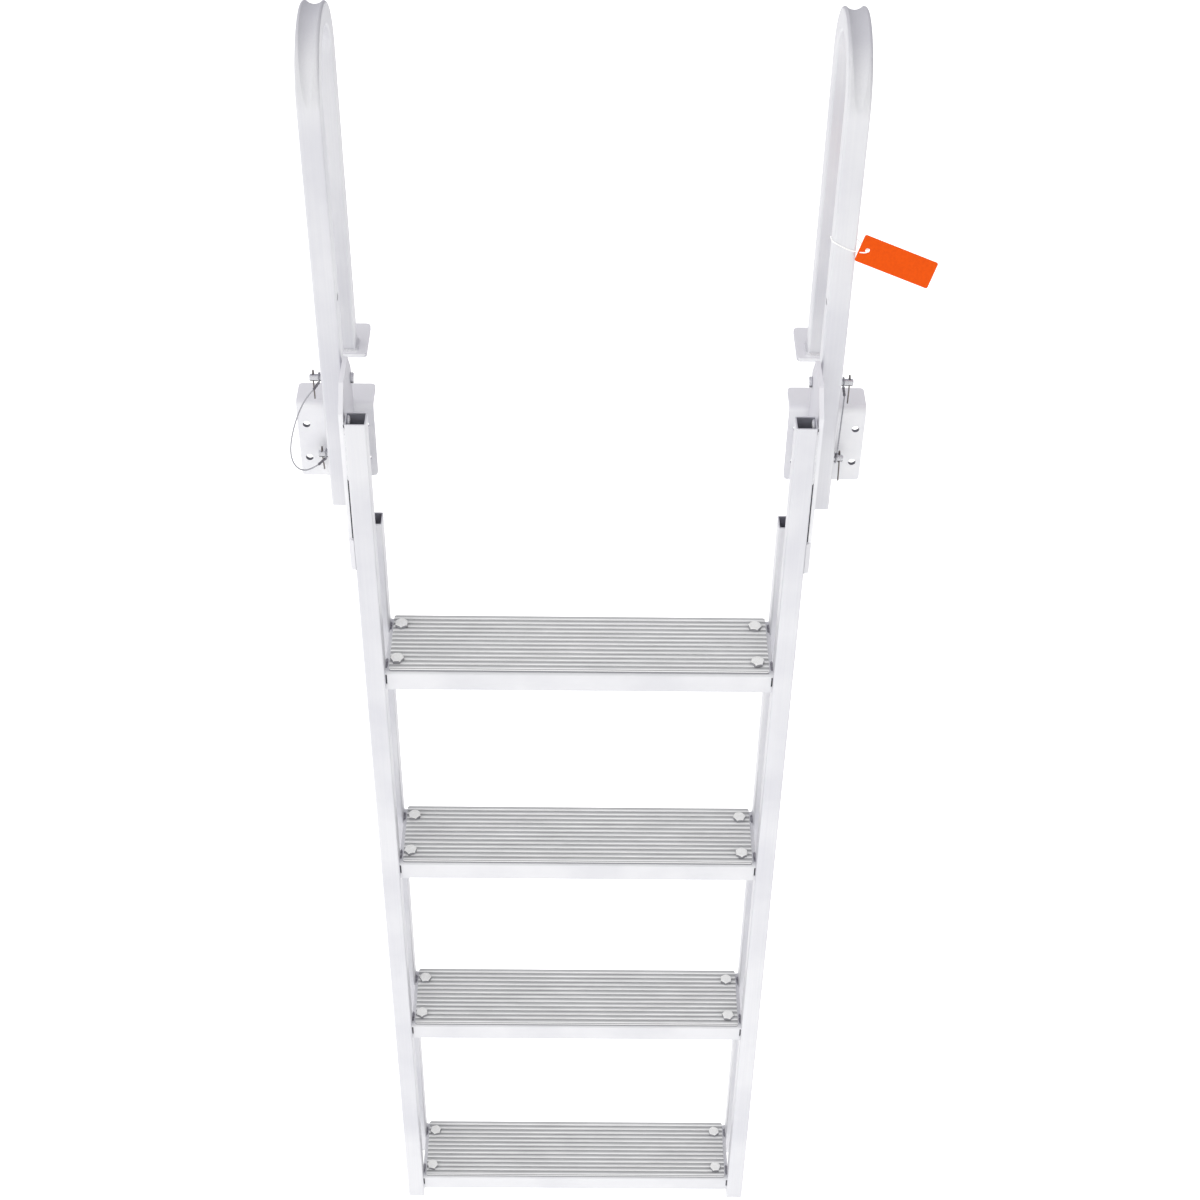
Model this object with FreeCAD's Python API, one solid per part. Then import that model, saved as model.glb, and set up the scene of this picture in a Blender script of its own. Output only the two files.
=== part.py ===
import FreeCAD, Part
import math
import os

from FreeCAD import Vector

# Flip-up dock ladder. X runs to the right, Y towards the dock, Z up. Left mirrors right, so all is drawn
# round X 0, midway between the two sides, with Y 0 at the dock's side face and Z 0 at its top. On export
# the origin moves into the flat back of the right bracket, midway between its four bolt holes.
# Driving dimensions, in millimetres

# Ladder rails: square tube, the front pair long and the rear pair short
inner_width = 415.0
rail_side = 21.0
rail_wall = 1.6
rail_corner = 2.2
front_rail_face = -98.0
rear_rail_back = -5.0
front_rail_top = 46.0
rear_rail_top = -136.0
rail_foot_drop = 40.0

# Treads: folded channels, the last one a little further down
tread_count = 4
first_tread_top = -281.0
tread_pitch = 305.0
last_tread_pitch = 334.0
tread_sheet = 3.0
tread_bend = 4.5
tread_lip = 26.0
tread_front_setback = 6.0
tread_rear_setback = 1.0
lip_slot = 1.6
lip_slot_length = 13.5

# Ribbed mats on the treads
mat_thickness = 3.5
mat_end_gap = 4.0
mat_front_gap = 1.0
mat_rear_gap = 1.0
mat_groove_count = 12
mat_groove_width = 2.9
mat_groove_depth = 1.3
mat_corner = 2.5

# Handles: square tube, bent over in a half circle
handle_side = 22.0
handle_wall = 1.8
handle_corner = 2.5
handle_top = 408.0
handle_pitch = 114.0
front_leg_foot = -110.0
pinch_depth = 3.8
pinch_width = 17.0
pinch_run_out = 0.3

# Hinge plates, welded to the front rails
plate_thickness = 4.6
plate_seam = 0.9
plate_front_setback = 5.0
plate_rear_margin = 7.0
plate_top = 76.5
plate_bottom = -148.0
plate_top_chamfer = (23.0, 22.5)
plate_rear_chamfer = (17.5, 24.5)
plate_foot_chamfer = 8.0
plate_foot_length = 29.0
plate_slant_start = -78.0
plate_corner = 3.0
bead_leg = 4.0
bead_top = -100.0
bead_end_gap = 2.0

# Pins through leg and hinge plate
pivot_height = 43.5
lock_pitch = 94.5
pin_radius = 3.6
pin_clearance = 0.08
notch_clearance = 0.6
pin_head_radius = 5.5
pin_head_height = 3.0
pin_head_gap = 0.3
pivot_pin_tail = 12.5
lock_pin_tail = 10.5
pin_chamfer = 0.8
washer_gap = 1.6
washer_clearance = 0.1
washer_radius = 9.0

# Hairpin clips in the pins' tails
clip_wire_radius = 0.85
clip_hole_clearance = 0.12
clip_end_margin = 3.5
clip_prong = 25.5
clip_outer_prong = 7.0
clip_loop_height = 4.4
clip_touch_gap = 0.2
right_clip_turn = -12.0
left_clip_turn = 15.0

# Dock brackets: bent plate over the dock's edge
bracket_thickness = 4.5
bracket_width = 78.0
bracket_offset = 2.9
bracket_drop = 87.5
bracket_reach = 30.0
bracket_bend = 3.5
bracket_corner = 4.0
bracket_hole_radius = 3.8
bracket_hole_margin = 9.0
bracket_hole_height = -22.5
bracket_hole_spacing = 42.0

# Foot plates under the rear legs
foot_thickness = 4.5
foot_width = 45.0
foot_front_margin = 5.5
foot_rear_margin = 30.0
foot_corner = 5.0
foot_weld = 3.0

# Wire lanyards between the clips, with an eye and a sleeve at each end
wire_radius = 0.75
eye_clearance = 0.4
eye_offset = 2.9
sleeve_radius = 1.6
sleeve_seat = 0.5
# Each point: out from the leg's side, back from the leg's middle, and down from the pivot in lock pitches
lanyard_left_route = [
    (8.8, -5.2, 0.1185),
    (16.6, -6.1, 0.2148),
    (24.0, -6.5, 0.3651),
    (30.6, -6.5, 0.5503),
    (35.9, -6.5, 0.7566),
    (38.4, -6.5, 0.9471),
    (36.4, -6.3, 1.0952),
    (30.0, -5.9, 1.1841),
    (20.8, -5.4, 1.1862),
    (11.1, -4.8, 1.1153),
]
lanyard_right_route = [
    (4.4, -6.0, 0.1323),
    (3.6, -11.3, 0.2540),
    (2.6, -14.7, 0.3968),
    (2.2, -16.1, 0.5556),
    (2.3, -14.1, 0.7143),
    (2.7, -8.7, 0.8677),
]

# Blank tag on a string, round the right front leg
tag_length = 76.0
tag_height = 27.0
tag_thickness = 0.6
tag_corner = 2.0
tag_tilt = -22.5
tag_reach = 40.1
tag_gap = 0.3
tag_centre_height = 190.6
tag_hole_radius = 2.2
tag_hole_margin = 5.8
string_radius = 0.6
string_gap = 0.18
string_front_drop = 1.5
string_front_rise = 9.1
string_rear_rise = 0.6
string_slack = 2.8
knot_radius = 1.6
knot_spread = 0.9
knot_drop = 3.4

# Places worked out from the driving dimensions

rail_inner = inner_width / 2
rail_outer = rail_inner + rail_side
front_rail_back = front_rail_face + rail_side
rear_rail_face = rear_rail_back - rail_side

plate_inner = rail_outer + plate_seam
plate_outer = plate_inner + plate_thickness
plate_front = front_rail_face + plate_front_setback

leg_inner = plate_outer + washer_gap
leg_outer = leg_inner + handle_side
leg_centre = leg_inner + handle_side / 2
front_leg_back = -bracket_thickness
front_leg_centre = front_leg_back - handle_side / 2
rear_leg_centre = front_leg_centre + handle_pitch
bend_radius = handle_pitch / 2
bend_centre = (front_leg_centre + rear_leg_centre) / 2
bend_height = handle_top - handle_side / 2 - bend_radius

lock_height = pivot_height - lock_pitch
stow_height = pivot_height + lock_pitch
plate_rear = front_leg_centre + plate_rear_margin
eye_place = leg_outer + eye_offset
eye_radius = pin_radius + eye_clearance + wire_radius

bracket_centre = leg_centre + bracket_offset
origin = Vector(bracket_centre, 0, bracket_hole_height - bracket_hole_spacing / 2)
tag_centre = (leg_outer + tag_reach, front_leg_centre - handle_side / 2 - tag_gap - tag_thickness, tag_centre_height)

tread_tops = [first_tread_top - tread_pitch * i for i in range(tread_count - 1)]
tread_tops.append(tread_tops[-1] - last_tread_pitch)
rail_foot = tread_tops[-1] - rail_foot_drop
tread_front = front_rail_face + tread_front_setback
tread_back = rear_rail_back + tread_rear_setback


def side_plane(x):
    """Place for outlines drawn in the (y, z) plane at x."""
    return lambda y, z: Vector(x, y, z)


def level_plane(z):
    """Place for outlines drawn in the (x, y) plane at height z."""
    return lambda x, y: Vector(x, y, z)


def outline_face(corners, place):
    """Flat face inside straight lines between the corners (u, v, radius), each corner rounded."""
    edges = []
    joints = []
    for i, (u, v, radius) in enumerate(corners):
        corner = Vector(u, v, 0)
        last = Vector(*corners[i - 1][:2], 0)
        following = Vector(*corners[(i + 1) % len(corners)][:2], 0)
        back = (last - corner).normalize()
        ahead = (following - corner).normalize()
        if radius == 0:
            joints.append((corner, None, corner))
            continue
        half = back.getAngle(ahead) / 2
        trim = radius / math.tan(half)
        middle = (back + ahead).normalize()
        top = corner + middle * (radius / math.sin(half) - radius)
        joints.append((corner + back * trim, top, corner + ahead * trim))
    for i, (start, top, end) in enumerate(joints):
        if top is not None:
            edges.append(Part.Arc(place(*start[:2]), place(*top[:2]), place(*end[:2])).toShape())
        following = joints[(i + 1) % len(joints)][0]
        if (following - end).Length > 1e-6:
            edges.append(Part.LineSegment(place(*end[:2]), place(*following[:2])).toShape())
    return Part.Face(Part.Wire(Part.__sortEdges__(edges)))


def square_face(side, corner, centre, place):
    """Square face with rounded corners round its centre."""
    half = side / 2
    u, v = centre
    corners = [(u - half, v - half, corner), (u + half, v - half, corner),
               (u + half, v + half, corner), (u - half, v + half, corner)]
    return outline_face(corners, place)


def box(x0, x1, y0, y1, z0, z1):
    """Box between two opposite corners."""
    return Part.makeBox(x1 - x0, y1 - y0, z1 - z0, Vector(x0, y0, z0))


def rod(radius, start, end):
    """Round bar from start to end."""
    along = end - start
    return Part.makeCylinder(radius, along.Length, start, along)


def upright_tube(side, wall, corner, x, y, z0, z1):
    """Square tube standing on end, open at both ends."""
    outer = square_face(side, corner, (x, y), level_plane(z0))
    inner = square_face(side - 2 * wall, corner - wall, (x, y), level_plane(z0))
    return outer.cut(inner).extrude(Vector(0, 0, z1 - z0))


def tube_path(points, largest):
    """Wire of straight runs joined by tangent arcs, each as large as its two runs allow, up to the largest."""
    corners = [Vector(*point) for point in points]
    edges = []
    radii = []
    start = corners[0]
    for before, corner, after in zip(corners, corners[1:], corners[2:]):
        back = before - corner
        ahead = after - corner
        turn = math.pi - back.getAngle(ahead)
        trim = 0.45 * min(back.Length, ahead.Length)
        radius = min(trim / math.tan(turn / 2), largest)
        trim = radius * math.tan(turn / 2)
        back.normalize()
        ahead.normalize()
        middle = (back + ahead).normalize()
        top = corner + middle * (radius / math.cos(turn / 2) - radius)
        edges.append(Part.LineSegment(start, corner + back * trim).toShape())
        edges.append(Part.Arc(corner + back * trim, top, corner + ahead * trim).toShape())
        start = corner + ahead * trim
        radii.append(radius)
    edges.append(Part.LineSegment(start, corners[-1]).toShape())
    return Part.Wire(edges), radii


def round_tube(points, radius, name, largest=math.inf):
    """Solid round cord along the points; its radii and length are printed."""
    path, radii = tube_path(points, largest)
    start = Vector(*points[0])
    along = Vector(*points[1]) - start
    section = Part.Wire(Part.Circle(start, along, radius).toShape())
    cord = path.makePipeShell([section], True, False)
    ratio = cord.Volume / (math.pi * radius ** 2 * path.Length)
    print(name, "radii", [round(r, 1) for r in radii], "length", round(path.Length, 1), "fill", round(ratio, 4))
    return cord


def front_rail():
    return upright_tube(rail_side, rail_wall, rail_corner, (rail_inner + rail_outer) / 2,
                        (front_rail_face + front_rail_back) / 2, rail_foot, front_rail_top)


def rear_rail():
    return upright_tube(rail_side, rail_wall, rail_corner, (rail_inner + rail_outer) / 2,
                        (rear_rail_face + rear_rail_back) / 2, rail_foot, rear_rail_top)


def tread(top):
    """Channel folded down at the front and the back, with a slot at each end of its lips, between the rails."""
    sheet_top = top - mat_thickness
    sheet_bottom = sheet_top - tread_sheet
    lip_end = sheet_top - tread_lip
    inner_bend = tread_bend - tread_sheet
    corners = [
        (tread_front, lip_end, 0), (tread_front, sheet_top, tread_bend),
        (tread_back, sheet_top, tread_bend), (tread_back, lip_end, 0),
        (tread_back - tread_sheet, lip_end, 0), (tread_back - tread_sheet, sheet_bottom, inner_bend),
        (tread_front + tread_sheet, sheet_bottom, inner_bend), (tread_front + tread_sheet, lip_end, 0),
    ]
    channel = outline_face(corners, side_plane(-rail_inner)).extrude(Vector(inner_width, 0, 0))
    slot_top = sheet_top - tread_bend
    for x in (-rail_inner, rail_inner - lip_slot):
        channel = channel.cut(box(x, x + lip_slot, tread_front, tread_back, slot_top - lip_slot_length, slot_top))
    return channel


def tread_mat(top):
    """Mat with even grooves along the tread."""
    end = rail_inner - mat_end_gap
    front = tread_front + mat_front_gap
    back = tread_back - mat_rear_gap
    pitch = (back - front) / (mat_groove_count + 1)
    corners = [(front, top - mat_thickness, 0), (front, top, 0)]
    for i in range(mat_groove_count):
        middle = front + pitch * (i + 1)
        left = middle - mat_groove_width / 2
        right = middle + mat_groove_width / 2
        floor = top - mat_groove_depth
        corners += [(left, top, 0), (left, floor, 0), (right, floor, 0), (right, top, 0)]
    corners += [(back, top, 0), (back, top - mat_thickness, 0)]
    ribbed = outline_face(corners, side_plane(-end)).extrude(Vector(2 * end, 0, 0))
    sheet = [(-end, front, mat_corner), (end, front, mat_corner), (end, back, mat_corner), (-end, back, mat_corner)]
    return ribbed.common(outline_face(sheet, level_plane(top - mat_thickness)).extrude(Vector(0, 0, mat_thickness)))


def hinge_plate():
    """Side plate with its pivot hole, the notch for the lock pin and the weld to the front rail."""
    top_cut, front_cut = plate_top_chamfer
    rear_cut, rear_drop = plate_rear_chamfer
    corners = [
        (plate_rear - rear_cut, plate_top, plate_corner),
        (plate_front + top_cut, plate_top, plate_corner),
        (plate_front, plate_top - front_cut, plate_corner),
        (plate_front, plate_bottom + plate_foot_chamfer, plate_corner),
        (plate_front + plate_foot_chamfer, plate_bottom, plate_corner),
        (plate_front + plate_foot_length, plate_bottom, plate_corner),
        (plate_rear, plate_slant_start, plate_corner),
        (plate_rear, plate_top - rear_drop, plate_corner),
    ]
    plate = outline_face(corners, side_plane(plate_inner)).extrude(Vector(plate_thickness, 0, 0))
    notch_radius = pin_radius + notch_clearance
    pivot = rod(pin_radius + pin_clearance, Vector(plate_inner, front_leg_centre, pivot_height),
                Vector(plate_outer, front_leg_centre, pivot_height))
    notch = rod(notch_radius, Vector(plate_inner, front_leg_centre, lock_height),
                Vector(plate_outer, front_leg_centre, lock_height))
    mouth = box(plate_inner, plate_outer, front_leg_centre, plate_rear,
                lock_height - notch_radius, lock_height + notch_radius)
    bead_corners = [
        (rail_outer, plate_front + bead_leg, 0), (rail_outer, plate_front - bead_leg, 0),
        (plate_inner + bead_leg, plate_front, 0), (plate_inner, plate_front + bead_leg, 0),
    ]
    bead_foot = plate_bottom + plate_foot_chamfer + bead_end_gap
    bead = outline_face(bead_corners, level_plane(bead_foot)).extrude(Vector(0, 0, bead_top - bead_foot))
    return plate.cut(pivot).cut(notch).cut(mouth).fuse(bead).removeSplitter()


def bend_pinch(depth):
    """Half ring whose inner side dips below the bend's outer face, deepest at the top, by the depth there."""
    outside = bend_radius + handle_side / 2
    half_chord = pinch_width / 2
    section = (half_chord ** 2 + pinch_depth ** 2) / (2 * pinch_depth)
    lowered = pinch_depth + pinch_run_out
    middle = Vector(leg_centre, bend_centre - outside - pinch_run_out - section, bend_height - lowered)
    ring = Part.Face(Part.Wire(Part.Circle(middle, Vector(0, 0, 1), section + depth).toShape()))
    return ring.revolve(Vector(leg_centre, bend_centre, bend_height - lowered), Vector(-1, 0, 0), 180)


def handle():
    """Bent square tube, the bend's outer wall pinched in, with the pivot's, the lock's and the flipped-up lock's holes."""
    half_turn = Vector(-1, 0, 0)
    hub = Vector(leg_centre, bend_centre, bend_height)
    shells = []
    for side, corner in ((handle_side, handle_corner), (handle_side - 2 * handle_wall, handle_corner - handle_wall)):
        front = square_face(side, corner, (leg_centre, front_leg_centre), level_plane(front_leg_foot))
        rear = square_face(side, corner, (leg_centre, rear_leg_centre), level_plane(foot_thickness))
        start = square_face(side, corner, (leg_centre, front_leg_centre), level_plane(bend_height))
        bend = start.revolve(hub, half_turn, 180)
        front_leg = front.extrude(Vector(0, 0, bend_height - front_leg_foot))
        rear_leg = rear.extrude(Vector(0, 0, bend_height - foot_thickness))
        pinch = bend_pinch((handle_side - side) / 2)
        shells.append(bend.fuse(front_leg).fuse(rear_leg).cut(pinch))
    tube = shells[0].cut(shells[1])
    for height in (pivot_height, lock_height, stow_height):
        tube = tube.cut(rod(pin_radius + pin_clearance, Vector(leg_inner, front_leg_centre, height),
                            Vector(leg_outer, front_leg_centre, height)))
    return tube.removeSplitter()


def foot_plate():
    """Plate under the rear leg, with the weld round the leg's foot."""
    half_width = foot_width / 2
    half_side = handle_side / 2
    y0 = rear_leg_centre - half_side - foot_front_margin
    y1 = rear_leg_centre + half_side + foot_rear_margin
    corners = [(leg_centre - half_width, y0, foot_corner), (leg_centre + half_width, y0, foot_corner),
               (leg_centre + half_width, y1, foot_corner), (leg_centre - half_width, y1, foot_corner)]
    plate = outline_face(corners, level_plane(0)).extrude(Vector(0, 0, foot_thickness))
    centre = (leg_centre, rear_leg_centre)
    low = square_face(handle_side + 2 * foot_weld, handle_corner + foot_weld, centre, level_plane(foot_thickness))
    high = square_face(handle_side + 0.5, handle_corner, centre, level_plane(foot_thickness + foot_weld))
    weld = Part.makeLoft([low.OuterWire, high.OuterWire], True, True)
    leg = square_face(handle_side, handle_corner, centre, level_plane(foot_thickness))
    return plate.fuse(weld.cut(leg.extrude(Vector(0, 0, 2 * foot_weld)))).removeSplitter()


def dock_bracket():
    """Plate bent over the dock's edge, with four bolt holes in its front flange."""
    x0 = bracket_centre - bracket_width / 2
    x1 = bracket_centre + bracket_width / 2
    corners = [
        (-bracket_thickness, -bracket_drop, 0),
        (-bracket_thickness, bracket_thickness, bracket_bend + bracket_thickness),
        (bracket_reach, bracket_thickness, 0), (bracket_reach, 0, 0),
        (0, 0, bracket_bend), (0, -bracket_drop, 0),
    ]
    bent = outline_face(corners, side_plane(x0)).extrude(Vector(bracket_width, 0, 0))
    front = [(x0, -bracket_drop, bracket_corner), (x1, -bracket_drop, bracket_corner),
             (x1, bracket_thickness, 0), (x0, bracket_thickness, 0)]
    front_form = outline_face(front, lambda x, z: Vector(x, -bracket_thickness, z))
    front_form = front_form.extrude(Vector(0, bracket_thickness + bracket_reach, 0))
    above = [(x0, -bracket_thickness, 0), (x1, -bracket_thickness, 0),
             (x1, bracket_reach, bracket_corner), (x0, bracket_reach, bracket_corner)]
    above_form = outline_face(above, level_plane(-bracket_drop))
    above_form = above_form.extrude(Vector(0, 0, bracket_drop + bracket_thickness))
    plate = bent.common(front_form).common(above_form)
    for x in (x0 + bracket_hole_margin, x1 - bracket_hole_margin):
        for z in (bracket_hole_height, bracket_hole_height - bracket_hole_spacing):
            plate = plate.cut(rod(bracket_hole_radius, Vector(x, -bracket_thickness, z), Vector(x, 0, z)))
    return plate.removeSplitter()


def clevis_pin(height, tail, clip_turn=0):
    """Pin with its head inside the hinge plate and a cross hole for the clip in its tail."""
    head_end = plate_inner - pin_head_gap
    head_start = head_end - pin_head_height
    pin_end = leg_outer + tail
    clip_place = pin_end - clip_end_margin
    profile = [
        (head_start, 0), (head_start, pin_head_radius - pin_chamfer),
        (head_start + pin_chamfer, pin_head_radius), (head_end, pin_head_radius),
        (head_end, pin_radius), (pin_end - pin_chamfer, pin_radius),
        (pin_end, pin_radius - pin_chamfer), (pin_end, 0),
    ]
    corners = [Vector(x, front_leg_centre, height + r) for x, r in profile]
    half = Part.Face(Part.makePolygon(corners + corners[:1]))
    pin = half.revolve(Vector(0, front_leg_centre, height), Vector(1, 0, 0), 360)
    cross = rod(clip_wire_radius + clip_hole_clearance, Vector(clip_place, front_leg_centre, height - pin_head_radius),
                Vector(clip_place, front_leg_centre, height + pin_head_radius))
    cross.rotate(Vector(0, front_leg_centre, height), Vector(1, 0, 0), clip_turn)
    return pin.cut(cross)


def hairpin(height, tail, turn):
    """Clip of round wire: one prong through the pin's tail, the other beside it."""
    clip_place = leg_outer + tail - clip_end_margin
    spread = pin_radius + clip_wire_radius + clip_touch_gap
    y0 = front_leg_centre
    y1 = front_leg_centre + spread
    top = height + clip_loop_height
    points = [Vector(clip_place, y0, height - clip_prong), Vector(clip_place, y0, top),
              Vector(clip_place, (y0 + y1) / 2, top + spread / 2), Vector(clip_place, y1, top),
              Vector(clip_place, y1, height - clip_outer_prong)]
    path = Part.Wire([
        Part.LineSegment(points[0], points[1]).toShape(),
        Part.Arc(points[1], points[2], points[3]).toShape(),
        Part.LineSegment(points[3], points[4]).toShape(),
    ])
    section = Part.Wire(Part.Circle(points[0], Vector(0, 0, 1), clip_wire_radius).toShape())
    clip = path.makePipeShell([section], True, False)
    clip.rotate(Vector(0, y0, height), Vector(1, 0, 0), turn)
    return clip


def pin_clips(lock_turn):
    return Part.Compound([hairpin(pivot_height, pivot_pin_tail, 0), hairpin(lock_height, lock_pin_tail, lock_turn)])


def lanyard_points(route):
    """Route's points in place, from the leg's outer side, its middle and the two pins."""
    return [(leg_outer + out, front_leg_centre + back, pivot_height - lock_pitch * down) for out, back, down in route]


def pivot_washer():
    """Spacer between the leg and the hinge plate."""
    x0 = plate_outer + washer_clearance
    start = Vector(x0, front_leg_centre, pivot_height)
    end = Vector(leg_inner, front_leg_centre, pivot_height)
    return rod(washer_radius, start, end).cut(rod(pin_radius + pin_clearance, start, end))


def lanyard_eyes(route):
    """Eye round each pin's tail, with the sleeve that the wire comes out of."""
    points = lanyard_points(route)
    eyes = []
    for height, mouth in ((pivot_height, points[0]), (lock_height, points[-1])):
        hub = Vector(eye_place, front_leg_centre, height)
        ring = Part.makeTorus(eye_radius, wire_radius, hub, Vector(1, 0, 0))
        out = Vector(0, mouth[1] - hub.y, mouth[2] - hub.z).normalize()
        seat = hub + out * (eye_radius + sleeve_seat)
        eyes.append(ring.fuse(rod(sleeve_radius, Vector(*mouth), seat)))
    return Part.Compound(eyes)


def tag_place(u, v):
    """Point of the tag's front face, u along its length and v up it, from its centre."""
    tilt = math.radians(tag_tilt)
    x, y, z = tag_centre
    return Vector(x + u * math.cos(tilt) - v * math.sin(tilt), y, z + u * math.sin(tilt) + v * math.cos(tilt))


def tag_hole():
    """Place of the tag's hole, in the middle of its end beside the leg."""
    return tag_place(-tag_length / 2 + tag_hole_margin, 0)


def hang_tag():
    """Blank plate with rounded corners and a hole for the string."""
    u = tag_length / 2
    v = tag_height / 2
    corners = [(-u, -v, tag_corner), (u, -v, tag_corner), (u, v, tag_corner), (-u, v, tag_corner)]
    plate = outline_face(corners, tag_place).extrude(Vector(0, tag_thickness, 0))
    hole = rod(tag_hole_radius, tag_hole(), tag_hole() + Vector(0, tag_thickness, 0))
    return plate.cut(hole)


def tag_string():
    """String through the tag's hole and round the front leg, with its ends in a knot behind the tag."""
    reach = handle_side / 2 + string_gap + string_radius
    x0 = leg_centre - reach
    x1 = leg_centre + reach
    y0 = front_leg_centre - reach
    y1 = front_leg_centre + reach
    hole = tag_hole()
    knot = hole + Vector(0, tag_thickness + knot_drop, 0)
    route = [
        (knot.x + knot_spread, knot.y, knot.z), (hole.x, hole.y - string_radius - string_slack, hole.z),
        (x1, y0, hole.z - string_front_drop), (x0, y0, hole.z + string_front_rise),
        (x0, y1, hole.z + string_rear_rise), (x1, y1, hole.z + string_rear_rise),
        (knot.x - knot_spread, knot.y, knot.z),
    ]
    corner = handle_corner + string_gap + string_radius
    cord = round_tube(route, string_radius, "tag_string", corner)
    return cord.fuse(Part.makeSphere(knot_radius, knot))


def export(name, shape):
    """Write one piece, moved so that the origin is in the right bracket's back, and print what it measures."""
    print(name, "solids", len(shape.Solids), "valid", shape.isValid(), "volume", round(shape.Volume / 1000, 2))
    shape.translated(-origin).exportStep("parts/" + name + ".step")


def mirrored(shape):
    return shape.mirror(Vector(0, 0, 0), Vector(1, 0, 0))


def export_pair(name, shape):
    export(name + "_right", shape)
    export(name + "_left", mirrored(shape))


def main():
    os.makedirs("parts", exist_ok=True)
    export_pair("handle", handle())
    export_pair("foot_plate", foot_plate())
    export_pair("dock_bracket", dock_bracket())
    export_pair("pivot_pin", clevis_pin(pivot_height, pivot_pin_tail))
    export("lock_pin_right", clevis_pin(lock_height, lock_pin_tail, right_clip_turn))
    export("lock_pin_left", mirrored(clevis_pin(lock_height, lock_pin_tail, left_clip_turn)))
    export_pair("pivot_washer", pivot_washer())
    export("pin_clips_right", pin_clips(right_clip_turn))
    export("pin_clips_left", mirrored(pin_clips(left_clip_turn)))
    export("lanyard_eyes_right", lanyard_eyes(lanyard_right_route))
    export("lanyard_eyes_left", mirrored(lanyard_eyes(lanyard_left_route)))
    export("lanyard_right", round_tube(lanyard_points(lanyard_right_route), wire_radius, "lanyard_right"))
    export("lanyard_left", mirrored(round_tube(lanyard_points(lanyard_left_route), wire_radius, "lanyard_left")))
    export("hang_tag", hang_tag())
    export("tag_string", tag_string())
    export_pair("hinge_plate", hinge_plate())
    export_pair("front_rail", front_rail())
    export_pair("rear_rail", rear_rail())
    for i, top in enumerate(tread_tops):
        export("tread_" + str(i + 1), tread(top))
        export("tread_mat_" + str(i + 1), tread_mat(top))


main()
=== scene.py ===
import math

import bpy
import numpy as np
from mathutils import Matrix


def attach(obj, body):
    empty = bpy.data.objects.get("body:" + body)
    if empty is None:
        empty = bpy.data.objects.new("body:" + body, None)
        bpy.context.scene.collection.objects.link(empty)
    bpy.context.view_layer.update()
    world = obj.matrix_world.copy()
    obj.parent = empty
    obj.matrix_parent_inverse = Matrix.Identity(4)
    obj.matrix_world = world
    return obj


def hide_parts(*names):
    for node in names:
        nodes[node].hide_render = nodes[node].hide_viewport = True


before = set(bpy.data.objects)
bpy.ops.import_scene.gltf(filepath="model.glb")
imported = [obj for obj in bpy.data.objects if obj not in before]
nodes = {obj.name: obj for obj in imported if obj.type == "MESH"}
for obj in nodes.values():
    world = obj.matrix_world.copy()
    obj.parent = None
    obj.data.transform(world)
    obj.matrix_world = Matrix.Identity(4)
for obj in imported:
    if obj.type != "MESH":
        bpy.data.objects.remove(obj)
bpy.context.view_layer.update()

mm = 0.001
# Pieces are drawn in millimetres round the middle of the ladder, at the dock's top and side face. The
# model's origin is in the right bracket's back, so each is moved by this as it is made.
originShift = np.array([-249.5, 0.0, 43.5])


def placed(points):
    # millimetres from the middle of the ladder to metres from the model's origin
    return (np.asarray(points, float) + originShift) * mm


# Camera, at the photograph's place, in millimetres. Turns in degrees.
cameraSettings = {
    "place": (2.02, -1728.41, 1253.07),
    "pitch": 41.21,
    "yaw": 0.66,
    "roll": 0.92,
    "lens": 62.965,
}


def makeCamera(s):
    # forward, right and up are worked out from the turns, and become the camera's own axes
    pitch, yaw, roll = (math.radians(s[k]) for k in ("pitch", "yaw", "roll"))
    forward = np.array([math.sin(yaw) * math.cos(pitch), math.cos(yaw) * math.cos(pitch), -math.sin(pitch)])
    level = np.array([math.cos(yaw), -math.sin(yaw), 0.0])
    upright = np.cross(level, forward)
    right = level * math.cos(roll) + upright * math.sin(roll)
    up = upright * math.cos(roll) - level * math.sin(roll)
    data = bpy.data.cameras.new("photoCamera")
    data.lens = s["lens"]
    data.sensor_width = 36.0
    data.sensor_fit = "HORIZONTAL"
    data.clip_start = 0.05
    data.clip_end = 60.0
    camera = bpy.data.objects.new("photoCamera", data)
    place = placed(s["place"])
    turn = Matrix([[right[i], up[i], -forward[i], place[i]] for i in range(3)] + [[0, 0, 0, 1]])
    camera.matrix_world = turn
    bpy.context.scene.collection.objects.link(camera)
    bpy.context.scene.camera = camera


makeCamera(cameraSettings)
print("camera placed")


# Node materials


def linearColour(code):
    # sRGB hex to linear: divide by 12.92 near black, else a power of 2.4
    values = [int(code[i:i + 2], 16) / 255 for i in (1, 3, 5)]
    return tuple(c / 12.92 if c <= 0.04045 else ((c + 0.055) / 1.055) ** 2.4 for c in values) + (1.0,)


def addNode(tree, kind, settings=None, links=None):
    node = tree.nodes.new(kind)
    for key, value in (settings or {}).items():
        if isinstance(key, int) or key in node.inputs:
            node.inputs[key].default_value = value
        else:
            setattr(node, key, value)
    for key, socket in (links or {}).items():
        tree.links.new(socket, node.inputs[key])
    return node


def startMaterial(name, settings):
    material = bpy.data.materials.new(name)
    material.use_nodes = True
    tree = material.node_tree
    tree.nodes.clear()
    shader = addNode(tree, "ShaderNodeBsdfPrincipled", settings)
    addNode(tree, "ShaderNodeOutputMaterial", links={"Surface": shader.outputs["BSDF"]})
    place = addNode(tree, "ShaderNodeTexCoord").outputs["Object"]
    return material, tree, shader, place


def colourSteps(tree, factor, steps):
    ramp = addNode(tree, "ShaderNodeValToRGB", links={"Fac": factor})
    elements = ramp.color_ramp.elements
    while len(elements) < len(steps):
        elements.new(0.5)
    for element, (position, code) in zip(elements, steps):
        element.position = position
        element.color = linearColour(code)
    return ramp.outputs["Color"]


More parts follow.
